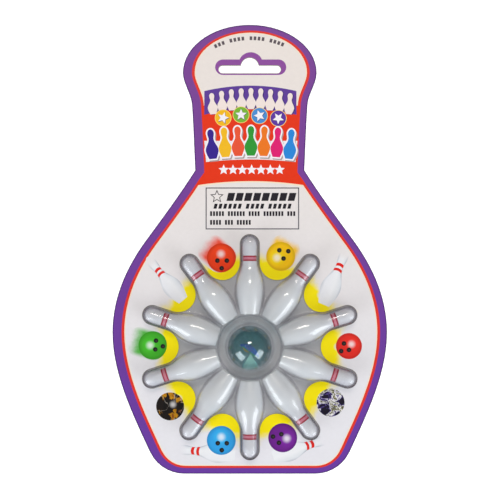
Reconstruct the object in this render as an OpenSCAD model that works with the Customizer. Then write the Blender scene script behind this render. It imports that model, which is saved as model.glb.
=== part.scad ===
// Carded toy bowling set.  A pin-shaped card carries a clear blister with ten
// toy pins in a ring, heads outward, round a glass ball.  The card lies on its
// back: +Z comes out of the printed face, +Y runs up to the hang slot, and the
// origin is the middle of the back face.

/* [Card] */
// Height of the card
card_h = 190; // [186:1:196]
// Width of the card across its belly
card_w = 116; // [114:1:120]
// Width of the head of the card
head_w = 56.8; // [54:0.2:60]
// Width of the neck, just above the shoulders
neck_w = 46.2; // [44:0.2:48]
// Thickness of the back board
back_t = 0.5; // [0.4:0.1:0.8]
// Thickness of the front board
front_t = 0.6; // [0.6:0.1:0.9]
// Radius of the card's two bottom corners
foot_r = 16; // [12:1:18]

/* [Hang slot] */
// Length of the slot
slot_w = 26.4; // [24:0.2:30]
// Height of the slot at its two ends
slot_h = 3.3; // [3:0.1:4.5]
// Radius of the hump that takes the peg
hump_r = 3.8; // [3.4:0.1:4.4]

/* [Pins] */
// Number of pins; each has a node of its own
pin_count = 10; // [10:1:10]
// Length of a pin
pin_l = 32; // [31:0.1:32]
// Radius of a pin at its belly
pin_belly_r = 5.5; // [5.2:0.1:5.5]
// Radius of a pin at its base
pin_base_r = 3.9; // [3.6:0.1:3.9]
// Radius of a pin at its neck
pin_neck_r = 2.8; // [2.6:0.1:2.9]
// Radius of a pin's head
pin_head_r = 2.95; // [2.8:0.05:3]
// Radius of the core hole in the base
core_r = 2.2; // [1.6:0.1:2.4]
// Depth of the core hole
core_l = 19; // [10:1:20]

/* [Ball] */
// Diameter of the glass ball
ball_d = 18.5; // [17:0.1:18.6]

/* [Blister] */
// Thickness of the clear sheet
sheet_t = 0.3; // [0.2:0.05:0.3]
// Air between a loose piece and what holds it
play = 0.3; // [0.3:0.05:0.35]
// Radius of the sealed flange
flange_r = 50.4; // [49.5:0.1:50.6]
// Inside radius of the pin pockets where they face the ball
ring_r = 13.6; // [13.4:0.1:13.6]
// Distance from the middle of the ring to the far end of a pocket
pocket_end = 47.2; // [47:0.1:47.4]

/* [Hidden] */

$fn = 96;

// Levels of the card's outline above its bottom edge
belly_up = 59.6;
shoulder_up = 98.5;
neck_up = 128.1;
jaw_up = 156.1;
head_up = 169.6;
slot_up = 171;
hump_up = 172.2;
ring_up = 53.4;

// Half widths of the outline where it is neither widest nor narrowest
shoulder_x = 43.8;
jaw_x = 24.5;
foot_x = 27.6;

// The foot's round hands over to the flank where the edge leans by this angle
foot_lean = 25.2;

// Heights in the stack: back board, sheet, front board
card_top = back_t + front_t;
flange_top = back_t + sheet_t;
recess_gap = 0.2;

// Pins start just outside the ring wall and lie just clear of the back board
pin_step = 360 / pin_count;
pin_first = pin_step / 2;
pin_start = ring_r + play;
pin_z = back_t + play + pin_belly_r;
base_round = 0.5;

ball_r = ball_d / 2;
ball_z = back_t + play + ball_r;

// The star opening: round-ended lobes joined by concave scallops
lobe_r = 4.05;
lobe_end = pocket_end + 0.25;
valley_r = 29.8;
// A scallop is tangent to both its lobes and reaches in to valley_r
scallop_at = (valley_r - lobe_r) / (1 - sin(pin_first));
scallop_r = scallop_at - valley_r;

// Outside of a pocket: [distance from the ring's middle, radius]
pocket_head_r = 3.85;
pocket_stations = [
    [ring_r - 1.6, 4.2],
    [20, pin_belly_r + play + sheet_t + 0.1],
    [26, pin_belly_r + play + sheet_t + 0.1],
    [34.5, pocket_head_r],
    [pocket_end - pocket_head_r, pocket_head_r]
];

// Outside of the ball's dome, and how far its wall flares out at the foot
dome_r = ball_r + play + sheet_t;
dome_flare = 0.4;

// A cubic from station a to station b; a station is [place, size, slope]
function cubic(a, b, t) =
    let (run = b[0] - a[0], t2 = t * t, t3 = t2 * t)
    [
        a[0] + run * t,
        (2 * t3 - 3 * t2 + 1) * a[1] + (t3 - 2 * t2 + t) * run * a[2]
        + (3 * t2 - 2 * t3) * b[1] + (t3 - t2) * run * b[2]
    ];

// Points [place, size] along the cubics that join the stations
function through(stations, steps) = [
    for (i = [0 : len(stations) - 2], k = [0 : steps - 1])
    cubic(stations[i], stations[i + 1], k / steps)
];

// Places on a pin are distances from its base
pin_stations = [
    [base_round, pin_base_r, 0.27],
    [10.5, pin_belly_r, 0],
    [16.5, 4.3, -0.36],
    [23.5, pin_neck_r, 0],
    [27.8, pin_head_r, 0]
];

// Right-hand edge of the card, from the foot up to the top, as [x, height]
function card_edge() =
    let (
        foot = [
            foot_r * (1 - sin(foot_lean)),
            foot_x + foot_r * cos(foot_lean),
            tan(foot_lean)
        ],
        belly = [belly_up, card_w / 2, 0],
        shoulder = [shoulder_up, shoulder_x, -0.735],
        corner = [neck_up, neck_w / 2, -0.63],
        neck = [neck_up, neck_w / 2, 0.05],
        jaw = [jaw_up, jaw_x, 0.07],
        head = [head_up, head_w / 2, 0],
        flank = through([foot, belly, shoulder, corner], 14),
        upper = through([neck, jaw, head], 7)
    )
    concat(
        [
            for (a = [-90 : 9 : -foot_lean - 5])
            [foot_x + foot_r * cos(a), foot_r + foot_r * sin(a)]
        ],
        [for (p = flank) [p[1], p[0]]],
        [for (p = upper) [p[1], p[0]]],
        [
            for (a = [0 : 6 : 84])
            [head_w / 2 * cos(a), head_up + (card_h - head_up) * sin(a)]
        ]
    );

module card_outline() {
    edge = card_edge();
    last = len(edge) - 1;
    translate([0, -card_h / 2])
    polygon(concat(
        edge,
        [[0, card_h]],
        [for (i = [last : -1 : 0]) [-edge[i][0], edge[i][1]]]
    ));
}

// A long slot with round ends and a hump in the middle for a peg
module hang_slot() {
    translate([0, slot_up - card_h / 2]) {
        for (side = [-1, 1])
        translate([side * (slot_w - slot_h) / 2, 0])
        circle(d = slot_h);
        square([slot_w - slot_h, slot_h], center = true);
        intersection() {
            translate([0, hump_up - slot_up])
            circle(r = hump_r);
            translate([-hump_r, 0])
            square(2 * hump_r);
        }
    }
}

// Puts its children where the ring of pins has its middle
module at_ring() {
    translate([0, ring_up - card_h / 2, 0])
    children();
}

module star_opening() {
    for (i = [0 : pin_count - 1])
    rotate(pin_first + i * pin_step) {
        translate([lobe_end - lobe_r, 0])
        circle(r = lobe_r);
        translate([0, -lobe_r])
        square([lobe_end - lobe_r, 2 * lobe_r]);
    }
    difference() {
        circle(r = scallop_at * cos(pin_first));
        for (i = [0 : pin_count - 1])
        rotate(i * pin_step)
        translate([scallop_at, 0])
        circle(r = scallop_r);
    }
}

module front_card() {
    color("ghostwhite")
    difference() {
        translate([0, 0, back_t])
        linear_extrude(front_t)
        difference() {
            card_outline();
            hang_slot();
        }
        at_ring() {
            linear_extrude(card_top + 1)
            star_opening();
            translate([0, 0, back_t - 1])
            cylinder(r = flange_r + recess_gap, h = sheet_t + 1);
        }
    }
}

module back_card() {
    color("lightgray")
    linear_extrude(back_t)
    difference() {
        card_outline();
        hang_slot();
    }
}

// Space for one pin, in plan and in section, less an inset all round
module pocket(inset) {
    outline = [for (s = pocket_stations) [s[0], s[1] - inset]];
    near = outline[0];
    far = outline[len(outline) - 1];
    // Straight walls from the back board up to the pin's middle height
    translate([0, 0, back_t])
    linear_extrude(pin_z - back_t) {
        polygon(concat(
            outline,
            [for (i = [len(outline) - 1 : -1 : 0]) [outline[i][0], -outline[i][1]]]
        ));
        translate([far[0], 0])
        circle(r = far[1]);
    }
    // Half round over the pin
    translate([0, 0, pin_z])
    rotate([0, 90, 0])
    rotate([0, 0, 90])
    rotate_extrude(angle = 180)
    polygon(concat(
        [[0, near[0]]],
        [for (p = outline) [p[1], p[0]]],
        [[0, far[0]]]
    ));
    translate([far[0], 0, pin_z])
    sphere(r = far[1]);
}

// All the pockets, cut off round the ball
module pockets(inset) {
    difference() {
        for (i = [0 : pin_count - 1])
        rotate(pin_first + i * pin_step)
        pocket(inset);
        translate([0, 0, -1])
        cylinder(r = ring_r - sheet_t + inset, h = ball_z + ball_d);
    }
}

// The ball's dome: a flared wall with a round top, less an inset all round
module dome(inset) {
    r = dome_r - inset;
    translate([0, 0, back_t])
    cylinder(r1 = r + dome_flare, r2 = r, h = ball_z - back_t);
    translate([0, 0, ball_z])
    rotate_extrude()
    intersection() {
        circle(r = r);
        square(r);
    }
}

module blister() {
    color("lightcyan", 0.4)
    at_ring()
    difference() {
        union() {
            translate([0, 0, back_t])
            cylinder(r = flange_r, h = sheet_t);
            pockets(0);
            dome(0);
        }
        pockets(sheet_t);
        dome(sheet_t);
    }
}

module ball() {
    color("cadetblue")
    at_ring()
    translate([0, 0, ball_z])
    sphere(r = ball_r);
}

// One moulded pin, cored from its base so that the plastic stays even
module pin(i) {
    side = through(pin_stations, 8);
    head = pin_stations[len(pin_stations) - 1];
    cap = pin_l - head[0];
    color("white")
    at_ring()
    rotate(pin_first + i * pin_step)
    translate([pin_start, 0, pin_z])
    rotate([0, 90, 0])
    difference() {
        rotate_extrude()
        polygon(concat(
            [[0, 0], [pin_base_r - base_round, 0]],
            [[pin_base_r - 0.3 * base_round, 0.3 * base_round]],
            [for (p = side) [p[1], p[0]]],
            [for (a = [0 : 10 : 80]) [head[1] * cos(a), head[0] + cap * sin(a)]],
            [[0, pin_l]]
        ));
        translate([0, 0, -1])
        cylinder(r = core_r, h = core_l + 1);
    }
}

module pin_01() { pin(0); }
module pin_02() { pin(1); }
module pin_03() { pin(2); }
module pin_04() { pin(3); }
module pin_05() { pin(4); }
module pin_06() { pin(5); }
module pin_07() { pin(6); }
module pin_08() { pin(7); }
module pin_09() { pin(8); }
module pin_10() { pin(9); }

front_card();
back_card();
blister();
ball();
pin_01();
pin_02();
pin_03();
pin_04();
pin_05();
pin_06();
pin_07();
pin_08();
pin_09();
pin_10();
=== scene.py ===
"""Carded toy bowling set: a pin-shaped printed card, a clear blister, ten toy pins and a glass ball.

The places of boards, blister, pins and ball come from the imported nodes.
"""
import math
from contextlib import contextmanager

import bmesh
import bpy
from mathutils import Matrix, Vector
from mathutils.geometry import delaunay_2d_cdt


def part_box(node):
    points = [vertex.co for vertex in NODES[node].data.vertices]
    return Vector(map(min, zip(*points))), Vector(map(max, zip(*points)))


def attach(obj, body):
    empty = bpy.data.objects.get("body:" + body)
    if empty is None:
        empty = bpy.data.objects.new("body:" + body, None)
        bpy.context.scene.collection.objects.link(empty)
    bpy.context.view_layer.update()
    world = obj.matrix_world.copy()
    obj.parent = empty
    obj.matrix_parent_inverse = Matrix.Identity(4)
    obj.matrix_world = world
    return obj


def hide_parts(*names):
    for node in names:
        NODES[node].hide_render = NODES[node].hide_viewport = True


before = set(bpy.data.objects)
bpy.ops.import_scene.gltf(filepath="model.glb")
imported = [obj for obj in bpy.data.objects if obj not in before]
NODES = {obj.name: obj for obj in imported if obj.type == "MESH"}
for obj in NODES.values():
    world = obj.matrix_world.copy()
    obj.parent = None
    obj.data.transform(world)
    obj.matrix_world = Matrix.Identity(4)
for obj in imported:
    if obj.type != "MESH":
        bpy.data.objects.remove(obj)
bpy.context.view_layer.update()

MM = 0.001


def box_mm(node):
    """A node's lowest and highest corner at rest, in millimetres."""
    low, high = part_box(node)
    return low / MM, high / MM


# ---- places taken from the design, in mm

card_low, card_high = box_mm("front_card")
ball_low, ball_high = box_mm("ball")
sheet_low, sheet_high = box_mm("blister")
pin_low, pin_high = box_mm("pin_03")  # the pin that points straight up the card

CARD_TOP = card_high.z
BACK_TOP = box_mm("back_card")[1].z
RING = Vector(((ball_low.x + ball_high.x) / 2, (sheet_low.y + sheet_high.y) / 2, 0))
BALL_R = (ball_high.z - ball_low.z) / 2
BALL_Z = (ball_high.z + ball_low.z) / 2
FLANGE_R = (sheet_high.x - sheet_low.x) / 2
PIN_Z = (pin_high.z + pin_low.z) / 2
PIN_START = pin_low.y - RING.y
PIN_L = pin_high.y - pin_low.y
PIN_COUNT = 10
PIN_STEP = 2 * math.pi / PIN_COUNT
PIN_FIRST = PIN_STEP / 2

# ---- plane and mesh helpers


def cubic(a, b, t):
    """The cubic from station a to station b; a station is (place, size, slope)."""
    run = b[0] - a[0]
    t2, t3 = t * t, t * t * t
    size = (2 * t3 - 3 * t2 + 1) * a[1] + (t3 - 2 * t2 + t) * run * a[2]
    size += (3 * t2 - 2 * t3) * b[1] + (t3 - t2) * run * b[2]
    return a[0] + run * t, size


def through(stations, steps):
    """Points (place, size) along the cubics that join the stations."""
    points = [cubic(a, b, k / steps) for a, b in zip(stations, stations[1:]) for k in range(steps)]
    return points + [stations[-1][:2]]


def size_at(stations, place):
    """The size at a place along the cubics that join the stations."""
    for a, b in zip(stations, stations[1:]):
        if a[0] <= place <= b[0]:
            return cubic(a, b, (place - a[0]) / (b[0] - a[0]))[1]
    return stations[-1][1]


def smoothstep(value, low, high):
    t = min(1.0, max(0.0, (value - low) / (high - low)))
    return t * t * (3 - 2 * t)


def turned(points, angle, x=0.0, y=0.0):
    c, s = math.cos(angle), math.sin(angle)
    return [(x + c * p[0] - s * p[1], y + s * p[0] + c * p[1]) for p in points]


def spoke(x, y, r, a):
    """The point at distance r from (x, y) in direction a."""
    return x + r * math.cos(a), y + r * math.sin(a)


def circle(x, y, r, n=48):
    return [spoke(x, y, r, 2 * math.pi * k / n) for k in range(n)]


def stadium(x0, x1, y, r, n=12):
    """A bar with round ends from x0 to x1, 2 r high."""
    right = [spoke(x1 - r, y, r, a) for a in arc(-90, 90, n)]
    return right + [spoke(x0 + r, y, r, a) for a in arc(90, 270, n)]


def arc(start, stop, n):
    """n + 1 angles from start to stop degrees, in radians."""
    return [math.radians(start + (stop - start) * k / n) for k in range(n + 1)]


def star(x, y, r, turn=0.0):
    return [spoke(x, y, r if k % 2 == 0 else 0.45 * r, math.pi / 2 + turn + k * math.pi / 5)
            for k in range(10)]


# Outline of a printed pin of length 1 standing on its base: (height, half width, slope)
PRINTED_PIN = [(0.0, 0.105, 0.35), (0.3, 0.185, 0.0), (0.67, 0.07, 0.0), (0.86, 0.095, 0.0)]


def pin_outline(x, y, length, fat=1.0, turn=0.0, grow=0.0):
    """A printed pin round (x, y), its head turned anticlockwise from straight up."""
    side = [(fat * w, h) for h, w in through(PRINTED_PIN, 7)]
    head_h, head_w = PRINTED_PIN[-1][0], fat * PRINTED_PIN[-1][1]
    side += [(head_w * math.cos(a), head_h + (1 - head_h) * math.sin(a)) for a in arc(15, 75, 4)]
    loop = side + [(0.0, 1.0)] + [(-p[0], p[1]) for p in reversed(side)]
    loop = [(length * p[0], length * (p[1] - 0.5)) for p in loop]
    if grow:
        loop = offset(loop, lambda n: -grow)
    return turned(loop, turn, x, y)


def offset(loop, distance, shift=0.0):
    """The anticlockwise loop moved inward by distance(normal), then right by shift."""
    moved = []
    for i, p in enumerate(loop):
        a, b = Vector(loop[i - 1]), Vector(loop[(i + 1) % len(loop)])
        d1, d2 = (Vector(p) - a).normalized(), (b - Vector(p)).normalized()
        n1, n2 = Vector((d1.y, -d1.x)), Vector((d2.y, -d2.x))
        n = (n1 + n2).normalized()
        reach = distance(n) / max(0.5, n.dot(n1))
        moved.append((p[0] - n.x * reach + shift, p[1] - n.y * reach))
    return moved


def around_ring(points, angle):
    """Points (distance from the ring's middle, across, height) turned to an angle."""
    c, s = math.cos(angle), math.sin(angle)
    return [(RING.x + c * a - s * b, RING.y + s * a + c * b, h) for a, b, h in points]


def linked(name, data):
    piece = bpy.data.objects.new(name, data)
    bpy.context.scene.collection.objects.link(piece)
    return piece


def new_piece(name, verts, faces, materials, slots=None, smooth=True):
    """A mesh object from points in millimetres; slots gives each face's material."""
    mesh = bpy.data.meshes.new(name)
    mesh.from_pydata([Vector(v) * MM for v in verts], [], faces)
    for material in materials:
        mesh.materials.append(material)
    if slots:
        mesh.polygons.foreach_set("material_index", slots)
    mesh.polygons.foreach_set("use_smooth", [smooth] * len(mesh.polygons))
    mesh.validate()
    return linked(name, mesh)


def grid_faces(rows, columns, closed=False):
    """Quads of a grid whose points are stored row by row."""
    faces = []
    for i in range(rows - 1):
        for j in range(columns if closed else columns - 1):
            k = (j + 1) % columns
            near, far = i * columns, (i + 1) * columns
            faces.append((near + j, near + k, far + k, far + j))
    return faces


def open_edges(faces, marks):
    """The edges that only one face has, each with that face's mark."""
    found = {}
    for face, mark in zip(faces, marks):
        for a, b in zip(face, face[1:] + face[:1]):
            if (b, a) in found:
                del found[(b, a)]
            else:
                found[(a, b)] = mark
    return found


def two_sided(faces, n):
    """The faces, the same turned over on the points n further on, and a rim between."""
    under = [tuple(n + i for i in reversed(face)) for face in faces]
    return faces + under + [(b, a, n + a, n + b) for a, b in open_edges(faces, faces)]


@contextmanager
def editing(piece):
    """The piece's mesh as a bmesh, written back at the end."""
    bm = bmesh.new()
    bm.from_mesh(piece.data)
    yield bm
    bm.to_mesh(piece.data)
    bm.free()


def weld(piece, distance=1e-4):
    """Joins points closer than distance mm, and turns all the faces outward."""
    with editing(piece) as bm:
        bmesh.ops.remove_doubles(bm, verts=bm.verts, dist=distance * MM)
        bmesh.ops.recalc_face_normals(bm, faces=bm.faces)


# ---- material helpers


def rgb(red, green, blue):
    """A linear colour from 8-bit sRGB values."""
    def linear(v):
        v /= 255
        return v / 12.92 if v <= 0.04045 else ((v + 0.055) / 1.055) ** 2.4

    return linear(red), linear(green), linear(blue), 1.0


def shade(colour, factor):
    return tuple(min(1.0, c * factor) for c in colour[:3]) + (1.0,)


class Graph:
    """One material, with a short call for each kind of shader node."""

    def __init__(self, name):
        self.material = bpy.data.materials.new(name)
        self.material.use_nodes = True
        self.tree = self.material.node_tree
        self.tree.nodes.clear()
        self.end = self.tree.nodes.new("ShaderNodeOutputMaterial")
        self.place = self.add("ShaderNodeTexCoord").outputs["Object"]

    def put(self, socket, value):
        if isinstance(value, bpy.types.NodeSocket):
            self.tree.links.new(value, socket)
        else:
            socket.default_value = value

    def add(self, kind, inputs=None, **settings):
        node = self.tree.nodes.new(kind)
        for key, value in settings.items():
            setattr(node, key, value)
        for key, value in (inputs or {}).items():
            self.put(node.inputs[key], value)
        return node

    def math(self, operation, a, b=0.0, c=0.0):
        return self.add("ShaderNodeMath", {0: a, 1: b, 2: c}, operation=operation).outputs[0]

    def times(self, a, b):
        return self.math("MULTIPLY", a, b)

    def vector(self, operation, a, b=(0.0, 0.0, 0.0), result=0):
        return self.add("ShaderNodeVectorMath", {0: a, 1: b}, operation=operation).outputs[result]

    def split(self, vector):
        return self.add("ShaderNodeSeparateXYZ", {0: vector}).outputs

    def distance(self, x, y):
        """How far a point lies from (x, y) mm, seen from above."""
        flat = self.vector("MULTIPLY", self.place, (1.0, 1.0, 0.0))
        return self.vector("DISTANCE", flat, (x * MM, y * MM, 0.0), 1)

    def along_across(self, x, y, heading):
        """How far a point lies from (x, y) mm along a heading in radians, and to its left."""
        local = self.vector("SUBTRACT", self.place, (x * MM, y * MM, CARD_TOP * MM))
        c, s = math.cos(heading), math.sin(heading)
        return [self.vector("DOT_PRODUCT", local, way, 1) for way in ((c, s, 0.0), (-s, c, 0.0))]

    def smooth(self, value, low, high):
        """0 at low, 1 at high, and smooth between."""
        inputs = {"Value": value, "From Min": low, "From Max": high}
        return self.add("ShaderNodeMapRange", inputs, interpolation_type="SMOOTHSTEP").outputs[0]

    def blend(self, factor, a, b, how="MIX"):
        node = self.add("ShaderNodeMix", data_type="RGBA", blend_type=how)
        for key, value in ((0, factor), (6, a), (7, b)):
            self.put(node.inputs[key], value)
        return node.outputs[2]

    def noise(self, size, detail=3.0, rough=0.55, twist=0.0, stretch=None):
        """Noise from 0 to 1 whose lumps are about size mm across."""
        place = self.vector("MULTIPLY", self.place, stretch) if stretch else self.place
        inputs = {"Vector": place, "Scale": 1 / (size * MM), "Detail": detail}
        inputs.update({"Roughness": rough, "Distortion": twist})
        return self.add("ShaderNodeTexNoise", inputs).outputs[0]

    def ragged(self, size, detail, reach):
        """Noise about zero, for an uneven edge: reach is its full swing."""
        return self.times(self.math("SUBTRACT", self.noise(size, detail), 0.5), reach)

    def facing(self):
        """0 where a surface faces the eye and 1 where it is seen on edge."""
        return self.add("ShaderNodeLayerWeight", {"Blend": 0.5}).outputs["Facing"]

    def ramp(self, factor, stops):
        node = self.add("ShaderNodeValToRGB", {0: factor})
        elements = node.color_ramp.elements
        while len(elements) < len(stops):
            elements.new(1.0)
        for element, (at, colour) in zip(elements, stops):
            element.position = at
            element.color = colour
        return node.outputs[0]

    def bump(self, height, depth, strength=1.0):
        """A bump map whose full height is depth mm."""
        inputs = {"Height": height, "Distance": depth * MM, "Strength": strength}
        return self.add("ShaderNodeBump", inputs).outputs[0]

    def pass_lamps(self, colour):
        """Lets the lamps' light go on through what is clear, in this colour."""
        way = self.add("ShaderNodeBsdfTransparent", {"Color": colour})
        shadow = self.add("ShaderNodeLightPath").outputs["Is Shadow Ray"]
        seen = self.end.inputs[0].links[0].from_socket
        mix = self.add("ShaderNodeMixShader", {0: shadow, 1: seen, 2: way.outputs[0]})
        self.tree.links.new(mix.outputs[0], self.end.inputs[0])
        return self.material

    def finish(self, colour, roughness, normal=None, **sockets):
        inputs = {"Base Color": colour, "Roughness": roughness}
        inputs.update({key.replace("_", " "): value for key, value in sockets.items()})
        if normal:
            inputs["Normal"] = normal
        shader = self.add("ShaderNodeBsdfPrincipled", inputs)
        self.tree.links.new(shader.outputs[0], self.end.inputs[0])
        return self.material


# ---- printed inks

WHITE = rgb(233, 231, 233)
LINE_RED = rgb(222, 52, 40)
CREAM = rgb(246, 226, 196)
NECK_RED = rgb(228, 50, 10)
YELLOW = rgb(252, 232, 0)
CRIMSON = rgb(158, 4, 42)


def coated(graph, colour):
    """Ink on coated board: faint mottle, fine paper tooth and light gloss."""
    mottle = graph.noise(1.6, 4.0)
    toned = graph.blend(graph.times(mottle, 0.12), colour, shade(WHITE, 0.55), "MULTIPLY")
    tooth = graph.bump(graph.noise(0.35, 2.0), 0.006)
    gloss = graph.math("MULTIPLY_ADD", mottle, 0.14, 0.4)
    return graph.finish(toned, gloss, tooth, Specular_IOR_Level=0.2, Coat_Weight=0.04,
                        Coat_Roughness=0.3)


def up_card(graph):
    """0 at the card's foot and 1 at its head."""
    return graph.smooth(graph.split(graph.place)[1], card_low.y * MM, card_high.y * MM)


def card_white_painted_light(graph):
    """Card white with painted light: cooler at the foot, warmer at the head, where the light is warmer.
    """
    tint = graph.blend(up_card(graph), rgb(250, 251, 255), rgb(255, 248, 240))
    return graph.blend(1.0, WHITE, tint, "MULTIPLY")


def white_ink():
    """Card white, with a yellow crescent that hugs each scallop of the star opening."""
    g = Graph("ink_white")
    local = g.vector("SUBTRACT", g.place, tuple(RING * MM))
    x, y, _ = g.split(local)
    r = g.distance(RING.x, RING.y)
    # Fold the plane into one sector, so that one scallop's crescent serves for all
    angle = g.math("ADD", g.math("ARCTAN2", y, x), PIN_FIRST)
    sector = g.math("SUBTRACT", g.math("FLOORED_MODULO", angle, PIN_STEP), PIN_FIRST)
    inward = g.math("SUBTRACT", SCALLOP_AT * MM, g.times(r, g.math("COSINE", sector)))
    across = g.times(r, g.math("SINE", sector))
    away = g.math("SQRT", g.math("ADD", g.math("POWER", inward, 2.0), g.math("POWER", across, 2.0)))
    swing = g.math("ADD", g.math("ABSOLUTE", g.math("ARCTAN2", across, inward)), g.ragged(2.5, 1.0, 0.5))
    band = g.smooth(away, 0.6 * MM, 2.2 * MM)
    ends = g.smooth(swing, math.radians(118), math.radians(72))
    return coated(g, g.blend(g.times(band, ends), card_white_painted_light(g), YELLOW))


def purple_ink():
    g = Graph("ink_purple")
    # Painted light: the purple turns warmer toward the card's head, where the light is warmer.
    return coated(g, g.blend(up_card(g), rgb(104, 58, 158), rgb(122, 66, 148)))


def ball_ink(name, x, y, r, colour, light):
    """A printed ball: a bright spot at light, a soft glow and a darker rim."""
    g = Graph("ink_" + name)
    near = g.distance(x + light[0], y + light[1])
    r *= MM
    rim = g.smooth(g.distance(x, y), 0.7 * r, 1.02 * r)
    glow = g.smooth(near, 0.75 * r, 0.1 * r)
    spot = g.smooth(near, 0.4 * r, 0.04 * r)
    spot_tone = tuple(0.25 * c + 0.75 for c in colour[:3]) + (1.0,)
    body = g.blend(g.times(rim, 0.4), colour, shade(colour, 0.35))
    body = g.blend(g.times(glow, 0.45), body, shade(colour, 1.9))
    return coated(g, g.blend(g.times(spot, 0.9), body, spot_tone))


def smear_ink(name, x, y, r, colour, heading, length):
    """The trail behind a printed ball, fading into the card's white."""
    g = Graph("ink_" + name)
    along, across = g.along_across(x, y, heading)
    uneven = g.math("ADD", along, g.ragged(2.0, 2.0, 2.2 * MM))
    tail = g.smooth(uneven, (r + length) * MM, 0.8 * r * MM)
    sides = g.smooth(g.math("ABSOLUTE", across), 1.12 * r * MM, 0.7 * r * MM)
    return coated(g, g.blend(g.times(g.times(tail, sides), 0.95), card_white_painted_light(g), colour))


def faint_pin_ink(name, x, y, heading, length):
    """A pale printed pin, greyer toward its edges, with a fading head."""
    g = Graph("ink_" + name)
    along, across = g.along_across(x, y, heading)
    length *= MM
    # From 0 on the pin's right edge to 1 on its left, by its half width there
    belly = g.smooth(along, 0.1 * length, -0.12 * length)
    half = g.math("MULTIPLY_ADD", belly, 0.1 * length, 0.068 * length)
    side = g.math("MULTIPLY_ADD", g.math("DIVIDE", across, half), 0.5, 0.5)
    body = g.ramp(side, [(0.0, rgb(186, 190, 200)), (0.12, rgb(222, 225, 230)),
                         (0.4, rgb(236, 237, 240)), (0.84, rgb(232, 233, 238)),
                         (1.0, rgb(202, 205, 212))])
    fade = g.smooth(along, 0.24 * length, 0.42 * length)
    return coated(g, g.blend(fade, body, card_white_painted_light(g)))


def marble_ink(name, size, stops, streak, thin, spot=None):
    """A marbled ball: coloured veins, streaks, and a soft spot if one is given."""
    g = Graph("ink_" + name)
    veins = g.ramp(g.noise(size, 3.0, 0.5, twist=1.6), stops)
    lines = g.math("ABSOLUTE", g.math("SUBTRACT", g.noise(size * 1.5, 3.0, 0.5, twist=1.5), 0.5))
    veins = g.blend(g.times(g.smooth(lines, thin, 0.0), 0.8), veins, streak)
    if spot:
        near = g.smooth(g.distance(*spot), 2.0 * MM, 0.2 * MM)
        veins = g.blend(g.times(near, 0.75), veins, rgb(226, 222, 222))
    return coated(g, veins)


# ---- the printed face

FILM_T = 0.04
PRINT_SHIFT = 0.45  # the print sits a little right of the die cut
ART_X = 0.5

# The star opening's scallops, which the crescents follow
LOBE_R = 4.05
VALLEY_R = 29.8
SCALLOP_AT = (VALLEY_R - LOBE_R) / (1 - math.sin(PIN_FIRST))

inks = {}
art = []


def paint(name, loop, look=None):
    """Lays a flat shape of ink over all painted before it; look is a new ink's colour or material."""
    if name not in inks and look:
        inks[name] = coated(Graph("ink_" + name), look) if isinstance(look, tuple) else look
    art.append((name, loop))


def face_loops(node, height):
    """The closed edges of a node's flat face at a height, largest first, each anticlockwise."""
    mesh = NODES[node].data
    place = [tuple(round(c / MM, 4) for c in v.co) for v in mesh.vertices]
    corners = [[place[i] for i in polygon.vertices] for polygon in mesh.polygons]
    flat = [face for face in corners if all(abs(c[2] - height) < 0.001 for c in face)]
    follow = dict(open_edges(flat, flat).keys())
    loops = []
    while follow:
        loop, at = [], next(iter(follow))
        while at in follow:
            loop.append(at[:2])
            at = follow.pop(at)
        loops.append(loop if area(loop) > 0 else loop[::-1])
    return sorted(loops, key=lambda loop: -abs(area(loop)))


def area(loop):
    return sum(a[0] * b[1] - b[0] * a[1] for a, b in zip(loop, loop[1:] + loop[:1])) / 2


def panel(left, right, top, top_rise, bottom, bottom_rise, lean=0.0):
    """A panel whose top and bottom edges are arched by the two rises."""
    mid, half = (left + right) / 2, (right - left) / 2
    steps = [k / 8 - 1 for k in range(17)]
    low = [(mid + (half - lean) * t, bottom + bottom_rise * (1 - t * t)) for t in steps]
    high = [(mid + half * t, top + top_rise * (1 - t * t)) for t in reversed(steps)]
    return low + high


def paint_border(outline):
    """Purple band over a painted edge shade, red line and cream line round the edge, then card white."""
    def narrower(side, end):
        return lambda n: side + (end - side) * n.y * n.y

    # A darker purple line round the cut edge is painted shade for the board's edge.
    paint("painted_edge_shade", outline, rgb(66, 30, 104))
    paint("purple", offset(outline, lambda n: 0.4), purple_ink())
    inner = offset(outline, narrower(3.35, 2.4), PRINT_SHIFT)
    cream = offset(outline, narrower(4.55, 3.3), PRINT_SHIFT)
    paint("line_red", inner, LINE_RED)
    paint("cream", cream, CREAM)
    paint("white", offset(outline, narrower(4.95, 3.65), PRINT_SHIFT), white_ink())
    return inner, cream


# Levels of the header, up the card from its middle
NECK_TOP = 60.6
NECK_FOOT = 26.6
NECK_RISE = 1.9


def between(loop, low, high):
    """A loop's right and left stretches between two heights, each going up."""
    part = sorted((p for p in loop if low < p[1] < high), key=lambda p: p[1])
    return [p for p in part if p[0] > 0], [p for p in part if p[0] < 0]


def at_height(stretch, y):
    """Where a stretch that goes up crosses height y."""
    for a, b in zip(stretch, stretch[1:]):
        if a[1] <= y <= b[1]:
            t = (y - a[1]) / (b[1] - a[1])
            return (a[0] + t * (b[0] - a[0]), y)
    return stretch[0] if y < stretch[0][1] else stretch[-1]


def neck_patch(loop, top, foot, rise):
    """The part of a loop between a flat top and an arched foot."""
    margin = 6.0
    right, left = between(loop, foot - margin, top + margin)
    a, b = at_height(left, foot), at_height(right, foot)
    arch = [(a[0] + (b[0] - a[0]) * k / 16, foot + rise * (1 - (k / 8 - 1) ** 2)) for k in range(17)]
    up, down = between(loop, foot + 0.3, top - 0.3)
    return arch + up + [at_height(right, top), at_height(left, top)] + down[::-1]


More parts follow.
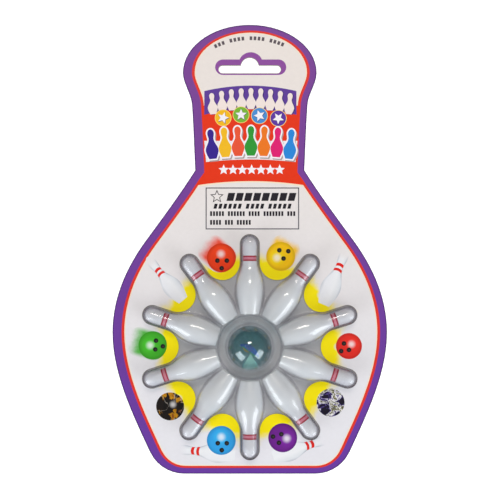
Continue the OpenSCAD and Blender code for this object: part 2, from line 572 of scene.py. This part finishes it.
def paint_header(inner, cream):
    """The red neck: banner, discs, coloured pins and stars in place of lettering."""
    paint("cream", neck_patch(cream, NECK_TOP - 1, NECK_FOOT - 0.5, NECK_RISE))
    paint("neck_red", neck_patch(inner, NECK_TOP, NECK_FOOT, NECK_RISE), NECK_RED)
    paint("white_flat", panel(-19.3, 20.2, 45.6, 0.0, 36.6, 1.1, lean=0.8), WHITE)
    paint("banner", panel(-19.3, 19.8, 66.8, 2.3, 56.7, 2.4), rgb(92, 58, 150))
    pale, below = rgb(240, 226, 220), rgb(60, 34, 110)
    for k in range(9):
        t = (k - 4) / 4.3
        x, y = ART_X + 17.6 * t, 63.6 - 2.5 * t * t
        paint("banner_shade", pin_outline(x + 0.3, y - 0.15, 9.0, 1.34, -0.09 * t), below)
        paint("pale", pin_outline(x, y, 9.0, 1.26, -0.09 * t), pale)
    paint_discs()
    paint_coloured_pins()
    for k in range(7):
        paint("bright", star(ART_X + 0.3 + 3.95 * (k - 3), 33.3, 2.3))


def paint_discs():
    """Four coloured discs, each with a shadowed star."""
    discs = [(-11.3, 55.4, rgb(244, 186, 20)), (-3.7, 56.7, rgb(120, 180, 50)),
             (4.1, 56.3, rgb(70, 140, 210)), (12.1, 55.2, rgb(92, 52, 160))]
    rim, below, bright = rgb(250, 214, 120), rgb(70, 50, 90), rgb(244, 240, 246)
    for k, (x, y, colour) in enumerate(discs):
        turn = 0.3 * k - 0.3
        paint("disc_rim", circle(x, y, 3.55), rim)
        paint("disc_%d" % k, circle(x, y, 3.3), colour)
        paint("star_shade", star(x + 0.1, y - 0.15, 2.75, turn), below)
        paint("bright", star(x, y, 2.5, turn), bright)


def paint_coloured_pins():
    """Seven coloured pins on a sagging row, over their white rims and shadows."""
    colours = [rgb(52, 30, 140), rgb(242, 186, 28), rgb(232, 84, 50), rgb(44, 150, 50),
               rgb(236, 118, 26), rgb(222, 22, 112), rgb(36, 134, 216)]
    places = [((k - 3) / 3, colour) for k, colour in enumerate(colours)]

    def outline(t, right=0.0, down=0.0, grow=0.0):
        x, y = ART_X + 16.7 * t + right, 45.6 - down - 1.4 * t * t
        return pin_outline(x, y, 12.6, 1.16, -0.1 * t, grow)

    for t, _ in places:
        paint("drop_shade", outline(t, 0.5, 0.6, 0.55), rgb(168, 150, 150))
    for t, _ in places:
        paint("bright", outline(t, grow=0.62))
    for k, (t, colour) in enumerate(places):
        paint("pin_%d" % k, outline(t), colour)


def paint_panel():
    """A ruled box with a star and rows of plain blocks, in place of small print."""
    paint("grey", panel(-18.7, 20.9, 25.8, 0.0, 8.0, 0.0), rgb(84, 82, 90))
    paint("white", panel(-18.25, 20.45, 25.35, 0.0, 8.45, 0.0))
    paint("dark", star(-13.9, 21.9, 3.0), rgb(34, 30, 38))
    paint("white", star(-13.9, 21.9, 2.2))
    rows = [
        # left end, foot, height, block width, gap, slant, blocks in each group
        (-9.9, 20.1, 3.4, 2.9, 0.8, 0.25, (8,)),
        (-15.4, 16.8, 2.1, 1.3, 0.75, 0.25, (6, 4, 5)),
        (-16.8, 13.7, 2.0, 0.85, 0.4, 0.0, (5, 6, 4, 7, 3)),
        (-16.8, 10.0, 2.0, 0.85, 0.4, 0.0, (4, 3, 5)),
    ]
    for x, y, tall, wide, gap, slant, groups in rows:
        for count in groups:
            for _ in range(count):
                top = x + slant * tall
                paint("dark", [(x, y), (x + wide, y), (top + wide, y + tall), (top, y + tall)])
                x += wide + gap
            x += 1.3


def paint_arc():
    """A row of small grey marks along an arch over the slot."""
    radius, top = 35.2, 89.3
    for k in range(19):
        if k % 5 == 3:
            continue
        swing = math.radians(2.8 * (k - 9))
        mark = [(-0.55, -0.8), (0.55, -0.8), (0.55, 0.8), (-0.55, 0.8)]
        x, y = ART_X + radius * math.sin(swing), top - radius + radius * math.cos(swing)
        paint("arc_grey", turned(mark, -swing, x, y), rgb(92, 82, 88))


def paint_slot():
    """The purple band round the hang slot."""
    paint("slot_band", stadium(-14.7, 15.5, 76.95, 3.3), rgb(140, 76, 156))
    paint("slot_band", [spoke(0.4, 78.15, 5.2, a) for a in arc(0, 180, 24)])


BALLS = [
    # name, x, y, radius, colour, bright spot,
    # finger holes, heading and length of the trail
    ("ball_red", -12.0, -4.0, 6.1, rgb(240, 62, 18), (-0.2, 1.6),
     ((-1.7, -1.2), (2.3, -1.2), (0.1, -4.4)), (138, 4.0)),
    ("ball_gold", 13.1, -3.4, 6.1, rgb(248, 196, 6), (-1.6, -0.6),
     ((-0.6, 2.6), (3.2, 2.2), (1.2, -0.9)), (62, 2.6)),
    ("ball_green", -41.0, -41.0, 6.0, rgb(64, 172, 40), (-1.1, 0.0),
     ((1.4, 2.0), (4.3, -0.4), (1.1, -1.7)), (165, 4.6)),
    ("ball_scarlet", 41.9, -41.3, 5.5, rgb(226, 44, 34), (1.1, 0.8),
     ((-2.1, 1.1), (-3.3, -2.1), (0.0, -1.6)), None),
    ("ball_sky", -12.0, -81.0, 6.1, rgb(48, 158, 226), (0.0, 1.4),
     ((-1.5, -1.2), (2.3, -1.2), (0.2, -4.1)), None),
    ("ball_violet", 13.9, -79.9, 6.1, rgb(108, 32, 138), (1.7, -0.3),
     ((-0.6, 1.5), (-4.1, 0.5), (-1.6, -2.1)), None),
]

FAINT_PINS = [
    # name, x, y of the middle, heading of the head in degrees, length
    ("pin_upper_left", -35.8, -12.8, 130, 23.8),
    ("pin_upper_right", 36.2, -11.9, 67.5, 25.8),
    ("pin_lower_left", -18.9, -85.8, 175, 25.5),
    ("pin_lower_right", 21.6, -84.1, 18, 24.8),
]


def paint_faint_pins():
    """Four pale pins, each with two arched red bands round its neck."""
    for name, x, y, heading, length in FAINT_PINS:
        heading = math.radians(heading)
        turn = heading - math.pi / 2
        paint(name, pin_outline(x, y, length, 0.9, turn), faint_pin_ink(name, x, y, heading, length))
        for low, high, half in ((0.08, 0.125, 0.07), (0.165, 0.215, 0.062)):
            arch = [(half * length * t, 0.022 * length * (1 - t * t)) for t in (-1, -0.6, 0, 0.6, 1)]
            band = [(px, low * length + lift) for px, lift in arch]
            band += [(px, high * length + lift) for px, lift in reversed(arch)]
            paint("band_red", turned(band, turn, x, y), rgb(220, 36, 30))


def paint_balls():
    """Six coloured balls with finger holes, three of them with a trail."""
    black, soot = rgb(26, 24, 26), rgb(58, 54, 50)
    for name, x, y, r, colour, light, holes, trail in BALLS:
        if trail:
            tail, heading, length = name + "_trail", math.radians(trail[0]), trail[1]
            reach = turned(stadium(-r, r + length + 1.0, 0.0, 1.1 * r), heading, x, y)
            paint(tail, reach, smear_ink(tail, x, y, r, colour, heading, length))
        paint(name, circle(x, y, r, 64), ball_ink(name, x, y, r, colour, light))
        for hx, hy in holes:
            paint("black", circle(x + hx, y + hy, 1.0, 20), black)
            paint("soot", circle(x + hx + 0.15, y + hy - 0.1, 0.42, 12), soot)


def paint_marbles():
    """Two marbled balls: one dark with gold, one white with purple and olive."""
    dark = [(0.28, rgb(120, 66, 20)), (0.36, rgb(10, 8, 8)), (0.57, rgb(26, 18, 16)),
            (0.62, rgb(206, 144, 14)), (0.7, rgb(140, 78, 20))]
    umber = marble_ink("ball_umber", 9.0, dark, rgb(176, 166, 156), 0.01, (-32.4, -65.9))
    paint("ball_umber", circle(-33.6, -66.7, 5.9, 64), umber)
    pale = [(0.4, rgb(22, 16, 34)), (0.45, rgb(84, 66, 140)), (0.475, rgb(232, 230, 232)),
            (0.52, rgb(226, 224, 220)), (0.535, rgb(28, 22, 28)), (0.57, rgb(120, 116, 48)),
            (0.61, rgb(236, 234, 230))]
    agate = marble_ink("ball_agate", 4.4, pale, rgb(34, 26, 56), 0.014)
    paint("ball_agate", circle(34.1, -65.1, 5.9, 64), agate)


def cut_art():
    """Cuts the painted shapes into faces: points, faces and each face's ink."""
    points, shapes = [], []
    for _, loop in art:
        shapes.append(list(range(len(points), len(points) + len(loop))))
        points += [Vector(p) for p in loop]
    flat, _, cells, _, _, owners = delaunay_2d_cdt(points, [], shapes, 1, 1e-5)
    tops = [art[max(owner)][0] if owner else "hole" for owner in owners]
    faces = [tuple(cell) for cell, top in zip(cells, tops) if top != "hole"]
    names = list(inks)
    return flat, faces, [names.index(top) for top in tops if top != "hole"]


def printed_film():
    """The printed face as one thin closed film, cut into its inks."""
    outline, *holes = face_loops("front_card", CARD_TOP)
    inner, cream = paint_border(outline)
    paint_arc()
    paint_header(inner, cream)
    paint_slot()
    paint_panel()
    paint_faint_pins()
    paint_balls()
    paint_marbles()
    # A dark ring round each opening is painted shade at the card's cut edge.
    for loop in holes:
        paint("cut_edge_shade", offset(loop, lambda n: -0.2), rgb(134, 126, 118))
    for loop in holes:
        paint("hole", loop)

    flat, faces, slots = cut_art()
    verts = [(p.x, p.y, CARD_TOP + lift) for lift in (FILM_T, 0.002) for p in flat]
    slots += slots + list(open_edges(faces, slots).values())
    film = new_piece("printed_face", verts, two_sided(faces, len(flat)), list(inks.values()), slots,
                     smooth=False)
    with editing(film) as bm:
        loose = [v for v in bm.verts if not v.link_faces]
        bmesh.ops.delete(bm, geom=loose, context="VERTS")
    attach(film, "card")


# ---- the boards


def board_material(name, face, edge, fibre):
    """Pulp board: fibres and flecks on its faces, layered plies on its cut edge."""
    g = Graph(name)
    fibres = g.noise(0.5, 5.0, 0.7, stretch=(1.0, 0.3, 6.0))
    flecks = g.smooth(g.noise(0.9, 2.0, 0.5), 0.64, 0.7)
    tone = g.blend(g.times(fibres, fibre), face, shade(face, 0.62))
    tone = g.blend(g.times(flecks, 0.35), tone, edge)
    up = g.math("ABSOLUTE", g.split(g.add("ShaderNodeNewGeometry").outputs["Normal"])[2])
    plies = g.noise(0.12, 2.0, 0.5, stretch=(0.05, 0.05, 1.0))
    cut = g.blend(plies, edge, shade(edge, 0.7))
    colour = g.blend(g.smooth(up, 0.4, 0.6), cut, tone)
    return g.finish(colour, 0.88, g.bump(fibres, 0.02))


def dress_boards():
    """The boards keep their design shape and get a pulp-board finish."""
    coated_board = board_material("coated_board", rgb(232, 230, 230), rgb(196, 190, 184), 0.25)
    # Painted shade: the back board gets a grey face, for the shade it lies in under the blister.
    shaded_back_board = board_material("shaded_back_board", rgb(188, 187, 190), rgb(178, 174, 170), 0.3)
    for node, material in (("front_card", coated_board), ("back_card", shaded_back_board)):
        slots = NODES[node].data.materials
        slots.clear()
        slots.append(material)


# ---- the toy pins

PIN_BASE_R = 3.9
PIN_BASE_ROUND = 0.5
PIN_CORE_R = 2.2
PIN_CORE_L = 19.0
# A pin's outside: (distance from its base, radius, slope)
PIN_STATIONS = [(PIN_BASE_ROUND, PIN_BASE_R, 0.27), (10.5, (pin_high.z - pin_low.z) / 2, 0.0),
                (16.5, 4.3, -0.36), (23.5, 2.8, 0.0), (27.8, 2.95, 0.0)]
PIN_BANDS = [(22.2, 22.85), (23.85, 24.5)]  # the two red bands, as distances from the base


def pearl_plastic():
    """Translucent plastic with a faint cloudy flow."""
    g = Graph("pearl_plastic")
    colour = g.blend(g.noise(9.0, 3.0, 0.5, twist=1.2), rgb(203, 206, 211), rgb(217, 218, 220))
    return g.finish(colour, 0.34, g.bump(g.noise(1.2, 2.0), 0.004), Coat_Weight=0.18,
                    Coat_Roughness=0.1, Subsurface_Weight=0.8, Subsurface_Radius=(1.0, 0.97, 0.94),
                    Subsurface_Scale=0.006)


def pad_print(name, colour):
    """Pad-printed ink: a little thin where the pad skipped."""
    g = Graph(name)
    skip = g.times(g.smooth(g.noise(0.7, 3.0, 0.6), 0.5, 0.75), 0.35)
    colour = g.blend(skip, colour, rgb(224, 150, 165))
    return g.finish(colour, 0.3, Coat_Weight=0.4, Coat_Roughness=0.1)


def pin_profile():
    """(distance from base, radius) from the end of the core hole round to the head."""
    dome = [(PIN_CORE_L + 0.6 * math.cos(a), PIN_CORE_R * math.sin(a)) for a in arc(0, 90, 4)]
    rim = [(0.35, PIN_CORE_R), (0.0, PIN_CORE_R + 0.3), (0.0, PIN_BASE_R - PIN_BASE_ROUND)]
    foot = [(PIN_BASE_ROUND * (1 - math.sin(a)), PIN_BASE_R - PIN_BASE_ROUND * (1 - math.cos(a)))
            for a in arc(75, 15, 3)]
    # Rows exactly on the bands' edges, and none close beside them
    marks = sorted(edge for band in PIN_BANDS for edge in band)
    side = [p for p in through(PIN_STATIONS, 9) if all(abs(p[0] - m) > 0.12 for m in marks)]
    side = sorted(side + [(m, size_at(PIN_STATIONS, m)) for m in marks])
    head_s, head_r = PIN_STATIONS[-1][:2]
    cap = [(head_s + (PIN_L - head_s) * math.sin(a), head_r * math.cos(a)) for a in arc(9, 90, 9)]
    return dome + rim + foot + side + cap


def band_slot(s):
    """The pin's material at a distance from its base: 1 on the two bands and 2 between them."""
    if any(low < s < high for low, high in PIN_BANDS):
        return 1
    return 2 if PIN_BANDS[0][1] < s < PIN_BANDS[1][0] else 0


def toy_pins():
    """Ten lathed pins, each with parting lines and two red bands."""
    materials = [pearl_plastic(), pad_print("band_crimson", CRIMSON),
                 pad_print("band_blush", rgb(208, 122, 140))]
    profile = pin_profile()
    around = 72
    points = []
    for s, r in profile:
        for k in range(around):
            a = 2 * math.pi * k / around
            seam = 0.03 if k % (around // 2) == 0 and r > PIN_CORE_R + 0.4 else 0.0
            points.append((PIN_START + s, *spoke(0.0, PIN_Z, r + seam, a)))
    faces = grid_faces(len(profile), around, closed=True)
    slots = []
    for (s, _), (after, _) in zip(profile, profile[1:]):
        slots += [band_slot((s + after) / 2)] * around
    for i in range(PIN_COUNT):
        name = "pin_%02d" % (i + 1)
        verts = around_ring(points, PIN_FIRST + i * PIN_STEP)
        pin = new_piece("toy_" + name, verts, faces, materials, slots)
        weld(pin)
        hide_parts(name)
        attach(pin, name)


# ---- the glass ball


def glass_material():
    """Teal glass, with painted shade that deepens it toward its edge."""
    g = Graph("teal_glass")
    middle = g.blend(g.noise(6.0, 2.0, 0.5, twist=1.0), rgb(124, 164, 168), rgb(142, 178, 174))
    # Painted shade: the colour deepens toward the ball's rim, for the darker ring seen there through the
    # glass.
    colour = g.blend(g.smooth(g.facing(), 0.12, 0.45), middle, rgb(40, 94, 98))
    g.finish(colour, 0.0, Transmission_Weight=1.0, IOR=1.5, Coat_Weight=1.0, Coat_Roughness=0.06,
             Coat_IOR=1.7, Coat_Tint=rgb(236, 250, 255), Specular_Tint=rgb(170, 226, 232))
    return g.pass_lamps(rgb(206, 232, 228))


def vane_material(name, colour, pale):
    g = Graph(name)
    streak = g.noise(1.5, 4.0, 0.6, stretch=(1.0, 0.3, 1.0))
    return g.finish(g.blend(streak, colour, pale), 0.35)


def pale_fan():
    """A thin pale green fan low in the ball, widest at its outer end: painted light for the caustic the
    ball focuses there.
    """
    x, y, reach = RING.x + 0.2, RING.y - 1.6, 4.3
    verts, steps = [], 12
    for side in (0.09, -0.09):
        verts.append((x, y, BALL_Z - 1.2 + side))
        for k in range(steps + 1):
            a = math.radians(-122 + 64 * k / steps)
            verts.append((*spoke(x, y, reach, a), BALL_Z - 2.6 + side))
    faces = two_sided([(0, k, k + 1) for k in range(1, steps + 1)], steps + 2)
    material = vane_material("painted_caustic_fan", rgb(186, 214, 196), rgb(232, 242, 230))
    fan = new_piece("painted_caustic_fan", verts, faces, [material], smooth=False)
    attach(fan, "ball")


def glass_ball():
    """A glass ball, very slightly out of round, with twisted vanes inside."""
    rows, around, lump = 64, 96, 0.012
    verts = []
    for i in range(rows + 1):
        lift = math.pi * i / rows
        for k in range(around):
            a = 2 * math.pi * k / around
            r = BALL_R - lump * (1 + math.sin(3 * a + 1.0) * math.sin(lift))
            out = r * math.sin(lift)
            verts.append((*spoke(RING.x, RING.y, out, a), BALL_Z + r * math.cos(lift)))
    ball = new_piece("glass_ball", verts, grid_faces(rows + 1, around, closed=True), [glass_material()])
    weld(ball)
    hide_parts("ball")
    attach(ball, "ball")

    # A pale sheet inside the ball is painted light for the caustic low in it.
    pale_fan()
    # name, two tones, turn about its own length, half length, width
    vane("vane_blue", rgb(26, 76, 176), rgb(60, 124, 206), 0.0, 3.5, 1.6)
    vane("vane_green", rgb(24, 120, 90), rgb(60, 170, 130), 1.9, 2.8, 1.0)
    vane("vane_amber", rgb(150, 84, 20), rgb(210, 150, 60), 3.9, 2.2, 0.7)


def vane(name, colour, pale, phase, reach, width):
    """A thin vane of coloured glass that twists along its length."""
    points = []
    steps, across = 28, 6
    for side in (1, -1):
        for i in range(steps + 1):
            t = 2 * i / steps - 1
            twist = phase + 1.1 * t
            c, s = math.cos(twist), math.sin(twist)
            body = width * (1 - t * t) ** 0.6
            for j in range(across + 1):
                w = body * j / across
                thick = side * 0.16 * (1 - (j / across) ** 2) * (1 - t * t) + side * 0.012
                points.append((reach * t, w * c - thick * s, w * s + thick * c))
    turn = Matrix.Rotation(math.radians(-32), 3, "Z") @ Matrix.Rotation(math.radians(24), 3, "Y")
    middle = Vector((RING.x - 0.3, RING.y - 0.9, BALL_Z))
    placed = [middle + turn @ Vector(p) for p in points]
    faces = two_sided(grid_faces(steps + 1, across + 1), len(points) // 2)
    piece = new_piece(name, placed, faces, [vane_material(name, colour, pale)])
    weld(piece, 0.002)
    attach(piece, "ball")


# ---- the clear blister

SHEET_T = 0.26
FLANGE_TOP = BACK_TOP + 0.3
RING_OUTER = 13.3  # outside of the wall between pockets and ring floor
POCKET_HEAD_R = 3.85
POCKET_END = 47.2
SHOULDER_R = 0.8
HEAD_AT = POCKET_END - POCKET_HEAD_R
DOME_R = BALL_R + 0.6
POCKET_BELLY = 6.2
CROWN_LEVEL = 0.65  # how far the crown keeps the belly's height toward the ring
# Outside half width of a pocket along its pin: (distance from the ring's middle, half width, slope)
POCKET = [(RING_OUTER, 4.5, 0.26), (17.5, 5.55, 0.22), (23.0, POCKET_BELLY, 0.0),
          (26.5, 6.08, -0.14), (30.5, 4.95, -0.3), (35.0, POCKET_HEAD_R, -0.02),
          (HEAD_AT, POCKET_HEAD_R, 0.0)]
ACROSS = 22  # columns from the crown of a pocket to the line between two pockets


def pocket_size(s):
    """A pocket's half width at s and its height over the pin's axis, with its inner end rounded."""
    back = max(0.0, RING_OUTER + SHOULDER_R - s)
    round_off = SHOULDER_R - math.sqrt(SHOULDER_R ** 2 - min(back, SHOULDER_R) ** 2)
    w = size_at(POCKET, s)
    # Nearly level along its crown from the ring to the belly
    level = CROWN_LEVEL * (POCKET_BELLY - w) * smoothstep(s, 24.0, 20.0)
    return w - round_off, w + level - round_off


def section_point(u, w, rise, floor, span):
    """(across, height) at u from 0, a pocket's crown, to 1, the far end of the flat beside it."""
    draft, fillet = 0.28, 0.55
    foot = w + draft
    crown, wall, bend, flat = 0.5, 0.2, 0.16, 0.14  # each part's share of u
    if u < crown:
        a = math.pi / 2 * (1 - u / crown)
        return w * math.cos(a), PIN_Z + rise * math.sin(a)
    if u < crown + wall:
        t = (u - crown) / wall
        return w + draft * t * t, PIN_Z + (floor + fillet - PIN_Z) * t
    if u < crown + wall + bend:
        a = math.pi / 2 * (u - (crown + wall)) / bend
        return foot + fillet * (1 - math.cos(a)), floor + fillet * (1 - math.sin(a))
    t = (u - (crown + wall + bend)) / flat
    start = foot + fillet
    return start + (max(span, start) - start) * t, floor


def section(w, rise, floor, span):
    """Points (across, height) of half a pocket, cut off where across reaches span."""
    full = [section_point(k / 120, w, rise, floor, span) for k in range(121)]
    last = 1.0
    for k in range(120):
        if full[k][0] < span <= full[k + 1][0]:
            last = (k + (span - full[k][0]) / (full[k + 1][0] - full[k][0])) / 120
            break
    points = [section_point(last * k / ACROSS, w, rise, floor, span) for k in range(ACROSS + 1)]
    points[-1] = (span, points[-1][1])
    return points


def pocket_rows():
    """Rows of (along, across, height) of half a pocket, from the ring wall to its tip."""
    lean = math.tan(PIN_FIRST)
    rows = []
    stations = [RING_OUTER + SHOULDER_R * (1 - math.cos(a)) for a in arc(0, 90, 5)]
    stations += [stations[-1] + 0.75 * k for k in range(1, 11)]
    stations += [stations[-1] + (HEAD_AT - stations[-1]) * k / 24 for k in range(1, 25)]
    for s in stations:
        web = smoothstep(s, 20.5, RING_OUTER)
        floor = FLANGE_TOP + 4.6 * web ** 1.5
        bend = smoothstep(s, 19.0, RING_OUTER)
        span = s * lean * (1 - bend) + s * math.sin(PIN_FIRST) * bend
        row = []
        for across, height in section(*pocket_size(s), floor, span):
            round_s = math.sqrt(max(0.0, s * s - across * across))
            row.append((s * (1 - bend) + round_s * bend, across, height))
        # The last point lies exactly on the line between two pockets
        across, height = row[-1][1:]
        row[-1] = (across / lean, across, height)
        rows.append(row)
    corner = math.atan2(FLANGE_R * math.cos(PIN_FIRST) - HEAD_AT, FLANGE_R * math.sin(PIN_FIRST))
    turns = [corner / 2, corner] + [corner + (math.pi / 2 - corner) * k / 9 for k in range(1, 10)]
    for turn in turns:
        ahead, aside = math.sin(turn), math.cos(turn)
        to_rim = -HEAD_AT * ahead + math.sqrt(FLANGE_R ** 2 - (HEAD_AT * aside) ** 2)
        span = to_rim
        if turn < corner - 1e-6:
            span = HEAD_AT * lean / (aside - ahead * lean)
        rows.append([(HEAD_AT + ahead * across, aside * across, height)
                     for across, height in section(POCKET_HEAD_R, POCKET_HEAD_R, FLANGE_TOP, span)])
    return rows


def blister_points():
    """Rows of the sheet's upper face, from a pocket's tip in to the top of the dome."""
    rows = pocket_rows()
    rows.reverse()
    edge = rows[-1]
    # Down the ring wall, across the ring floor and up the dome, on the same columns
    for distance, drop in ((13.22, 0.25), (13.14, 0.6)):
        rows.append([polar(p, distance, p[2] - drop) for p in edge])
    for t in (0.3, 0.6, 0.85):
        rows.append([polar(p, 13.12 - 0.06 * t, p[2] - 0.6 - (p[2] - 0.6 - 1.3) * t) for p in edge])
    levels = [(distance, FLANGE_TOP + lift) for distance, lift in (
        (13.02, 0.3), (12.85, 0.1), (12.6, 0.0), (11.9, 0.0), (11.45, 0.03),
        (11.1, 0.11), (10.8, 0.25), (10.55, 0.48), (10.38, 0.8), (10.3, 1.2))]
    foot_r, foot_z = 10.3, 1.9
    levels += [(foot_r - (foot_r - DOME_R) * t, foot_z + (BALL_Z - foot_z) * t)
               for t in (0.3, 0.55, 0.8)]
    levels += [spoke(0.0, BALL_Z, DOME_R, a) for a in arc(0, 90, 16)]
    return rows + [[polar(p, *level) for p in edge] for level in levels]


def polar(point, distance, height):
    """The point moved along its radius to this distance, at a height."""
    a = math.atan2(point[1], point[0])
    return distance * math.cos(a), distance * math.sin(a), height


def clear_sheet():
    """Thin clear plastic: nearly invisible face on, darker and shinier on edge."""
    g = Graph("clear_sheet")
    facing = g.facing()
    light = g.ramp(facing, [(0.0, (0.985, 0.99, 0.99, 1)), (0.4, (0.95, 0.955, 0.96, 1)),
                            (0.6, (0.9, 0.9, 0.91, 1)), (0.8, (0.82, 0.81, 0.83, 1)),
                            (1.0, (0.68, 0.67, 0.69, 1))])
    dark = g.ramp(facing, [(0.0, (0.97, 0.97, 0.98, 1)), (0.3, (0.9, 0.9, 0.92, 1)),
                           (0.5, (0.68, 0.67, 0.7, 1)), (0.75, (0.44, 0.43, 0.46, 1)),
                           (1.0, (0.3, 0.29, 0.31, 1))])
    # Painted shade: the pockets' deep narrow ends are tinted darker than their bellies, for the shade
    # that falls there.
    painted_head_shade = g.smooth(g.distance(RING.x, RING.y), 29.0 * MM, 37.0 * MM)
    tint = g.blend(painted_head_shade, light, dark)
    clear = g.add("ShaderNodeBsdfTransparent", {"Color": tint})
    # Light scattered in the plastic, most where the sheet is seen on edge
    haze = g.add("ShaderNodeBsdfDiffuse", {"Color": (0.85, 0.86, 0.87, 1)})
    milk = g.math("ADD", g.times(g.math("POWER", facing, 3.0), 0.1), 0.004)
    body = g.add("ShaderNodeMixShader", {0: milk, 1: clear.outputs[0], 2: haze.outputs[0]})
    ripple = g.bump(g.noise(5.0, 2.0, 0.5), 0.02)
    gloss = g.add("ShaderNodeBsdfGlossy", {"Color": (1, 1, 1, 1), "Roughness": 0.1, "Normal": ripple})
    # The same reflection from both sides of the sheet, strongest on edge
    rim = g.math("ADD", g.times(g.math("POWER", facing, 5.0), 0.35), 0.034)
    mix = g.add("ShaderNodeMixShader", {0: rim, 1: body.outputs[0], 2: gloss.outputs[0]})
    g.tree.links.new(mix.outputs[0], g.end.inputs[0])
    return g.pass_lamps((0.94, 0.94, 0.94, 1))


def blister():
    """One thermoformed sheet: flange, ten pockets, ring wall, ring floor and dome."""
    rows = blister_points()
    # Both halves of a pocket, then one copy for each pin
    pocket = [p for row in rows for p in [(a, -b, h) for a, b, h in reversed(row)] + row[1:]]
    quads = grid_faces(len(rows), 2 * ACROSS + 1)
    verts, faces = [], []
    for i in range(PIN_COUNT):
        faces += [tuple(len(verts) + k for k in quad) for quad in quads]
        verts += around_ring(pocket, PIN_FIRST + i * PIN_STEP)
    sheet = new_piece("blister_sheet", verts, faces, [clear_sheet()])
    weld(sheet, 0.003)
    soften(sheet)
    solid = sheet.modifiers.new("thickness", "SOLIDIFY")
    solid.thickness = SHEET_T * MM
    solid.offset = -1
    thick = sheet.evaluated_get(bpy.context.evaluated_depsgraph_get())
    mesh = bpy.data.meshes.new_from_object(thick)
    sheet.modifiers.clear()
    sheet.data = mesh
    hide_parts("blister")
    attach(sheet, "card")


def soften(sheet):
    """Rounds the creases between pockets, but not the flat flange."""
    axes = {"use_axis_x": True, "use_axis_y": True, "use_axis_z": True}
    with editing(sheet) as bm:
        if sum(f.normal.z * f.calc_area() for f in bm.faces) < 0:
            bmesh.ops.reverse_faces(bm, faces=bm.faces)
        raised = [v for v in bm.verts if v.co.z > (FLANGE_TOP + 0.02) * MM]
        for _ in range(3):
            bmesh.ops.smooth_vert(bm, verts=raised, factor=0.5, **axes)


# ---- stage, lights and camera


def floor_material():
    g = Graph("studio_floor")
    colour = g.blend(g.noise(60.0, 2.0), rgb(250, 250, 250), rgb(254, 254, 254))
    return g.finish(colour, 0.7, Emission_Color=(1, 1, 1, 1), Emission_Strength=0.35)


def stage():
    half = 1500.0
    corners = [(-half, -half, 0), (half, -half, 0), (half, half, 0), (-half, half, 0)]
    floor = new_piece("floor", corners, [(0, 1, 2, 3)], [floor_material()], smooth=False)
    floor.location.z = -0.2 * MM  # clear of the card's back
    floor.visible_glossy = False


def soft_light(name, place, size, power, aim, colour, shadow=True):
    light = bpy.data.lights.new(name, "AREA")
    light.shape = "RECTANGLE"
    light.size, light.size_y = size[0] * MM, size[1] * MM
    light.energy = power
    light.color = colour
    light.use_shadow = shadow
    piece = linked(name, light)
    piece.location = Vector(place) * MM
    piece.rotation_euler = (Vector(aim) - Vector(place)).to_track_quat("-Z", "Y").to_euler()
    return piece


def lights():
    ring = (RING.x, RING.y, 0)
    # Each key has a twin without shadows, for the light that pins, sheet and glass pass on
    day, warm = (0.93, 0.97, 1.0), (1.0, 0.93, 0.86)
    for name, place in (("key_left", (-837, -770, 517)), ("key_right", (898, -626, 594))):
        soft_light(name, place, (830, 720), 5.9, ring, day)
        soft_light(name + "_fill", place, (830, 720), 5.0, ring, day, shadow=False)
    soft_light("top_lamp", (0, 540, 1130), (420, 170), 2.9, ring, warm)
    for name, place, size, power in (("ceiling", (0, 500, 900), (700, 700), 1.7),
                                     ("far_side", (0, 1150, 420), (1500, 500), 3.4)):
        fill = soft_light(name, place, size, power, ring, warm, shadow=False)
        fill.visible_glossy = False


def surroundings():
    """A pale sky, dimmer toward the card's head, so that the pockets' ends go grey."""
    world = bpy.data.worlds.new("studio")
    bpy.context.scene.world = world
    world.use_nodes = True
    tree = world.node_tree
    place = tree.nodes.new("ShaderNodeTexCoord")
    parts = tree.nodes.new("ShaderNodeSeparateXYZ")
    level = tree.nodes.new("ShaderNodeMapRange")
    tree.links.new(place.outputs["Generated"], parts.inputs[0])
    tree.links.new(parts.outputs[1], level.inputs[0])
    for socket, value in zip(("From Min", "From Max", "To Min", "To Max"), (-0.8, 0.9, 0.36, 0.08)):
        level.inputs[socket].default_value = value
    sky = tree.nodes["Background"].inputs
    sky[0].default_value = (0.96, 0.98, 1.0, 1)
    tree.links.new(level.outputs[0], sky[1])


def camera():
    """Above the card's foot, where the parallax of ball and pins puts it."""
    height, frame_width, lean = 593.0, 211.6, math.radians(1.5)
    lens = bpy.data.cameras.new("camera")
    lens.sensor_width = 36.0
    lens.lens = 36.0 * height / frame_width
    lens.clip_start = 0.01
    lens.clip_end = 10.0
    piece = linked("camera", lens)
    back, up = height * math.sin(lean), CARD_TOP + height * math.cos(lean)
    piece.location = (0.1 * MM, (-0.7 - back) * MM, up * MM)
    piece.rotation_euler = (lean, 0, 0)
    bpy.context.scene.camera = piece


bpy.context.scene.view_settings.view_transform = "Standard"
camera()
stage()
lights()
surroundings()
dress_boards()
printed_film()
toy_pins()
glass_ball()
blister()
